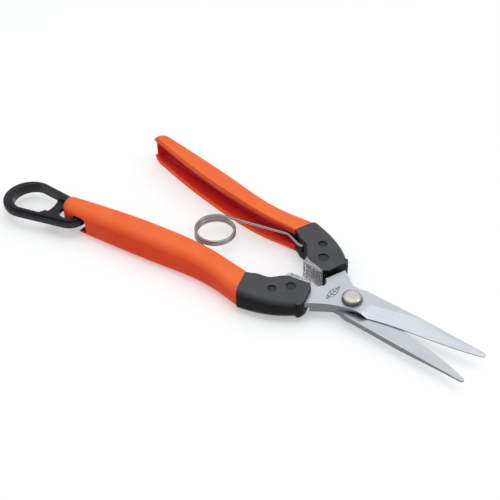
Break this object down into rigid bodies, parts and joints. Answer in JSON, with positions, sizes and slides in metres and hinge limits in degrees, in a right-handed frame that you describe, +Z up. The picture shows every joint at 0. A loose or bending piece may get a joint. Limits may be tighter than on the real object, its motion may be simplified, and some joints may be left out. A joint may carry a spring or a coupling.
{
  "type": "floral snips",
  "caption": "Spring-loaded floral snips with straight pointed blades, channel handles in orange vinyl, black neck covers, a wire coil spring and a latch loop.",
  "frame": {"origin": "centre of the footprint, on the plane that the snips lie on", "axes": "+X runs to the blade tips, +Y to the left handle, +Z up from the plane that the snips lie on"},
  "size_m": [0.214, 0.0778, 0.0145],
  "materials": {
    "blade_steel": "satin ground stainless steel",
    "bolt_chrome": "polished",
    "plated_steel": "zinc plated",
    "channel_steel": "pressed steel sheet, primed",
    "spring_wire": "drawn stainless wire",
    "grip_vinyl": "dipped vinyl, satin",
    "neck_plastic": "fine texture moulding",
    "dark_rivet": "black painted",
    "clear_plastic": "clear moulding",
    "latch_plastic": "black gloss moulding"
  },
  "bodies": {
    "right_half": {"top_blade": "blade_steel", "right_neck": "neck_plastic", "right_handle_channel": "channel_steel", "right_grip": "grip_vinyl", "right_bumper": "clear_plastic", "right_front_rivet": "dark_rivet", "right_rear_rivet": "dark_rivet", "right_spring_pin": "plated_steel", "pivot_bolt": "bolt_chrome", "pivot_washer": "plated_steel", "pivot_nut": "plated_steel"},
    "left_half": {"bottom_blade": "blade_steel", "left_neck": "neck_plastic", "left_handle_channel": "channel_steel", "left_grip": "grip_vinyl", "left_bumper": "clear_plastic", "left_front_rivet": "dark_rivet", "left_rear_rivet": "dark_rivet", "left_spring_pin": "plated_steel"},
    "spring_right": {"spring_right_leg": "spring_wire"},
    "spring_left": {"spring_left_leg": "spring_wire"},
    "latch": {"latch_loop": "latch_plastic"}
  },
  "joints": [
    {"name": "blade_pivot", "type": "hinge", "parent": "right_half", "child": "left_half", "pos_m": [0.05151, 0.00619, 0.00725], "axis": [0, 0, 1], "range_deg": [0, 16], "stiffness_Nm_per_rad": 0.12},
    {"name": "spring_hook", "type": "hinge", "parent": "right_half", "child": "spring_right", "pos_m": [0.01551, -0.00881, 0.00725], "axis": [0, 0, 1], "range_deg": [0, 16.58]},
    {"name": "spring_wind", "type": "hinge", "parent": "spring_right", "child": "spring_left", "pos_m": [-0.01879, 0.00619, 0.00725], "axis": [0, 0, 1], "range_deg": [-16.95, 0], "deforming": ["spring_left_leg", "spring_right_leg"]},
    {"name": "latch_swing", "type": "hinge", "parent": "right_half", "child": "latch", "pos_m": [-0.07419, -0.02371, 0.00725], "axis": [0, 0, 1], "range_deg": [-53, 40]}
  ],
  "couplings": [
    {"joint": "spring_hook", "follows": "blade_pivot", "ratio": 1.0235},
    {"joint": "spring_wind", "follows": "blade_pivot", "ratio": -1.047}
  ]
}
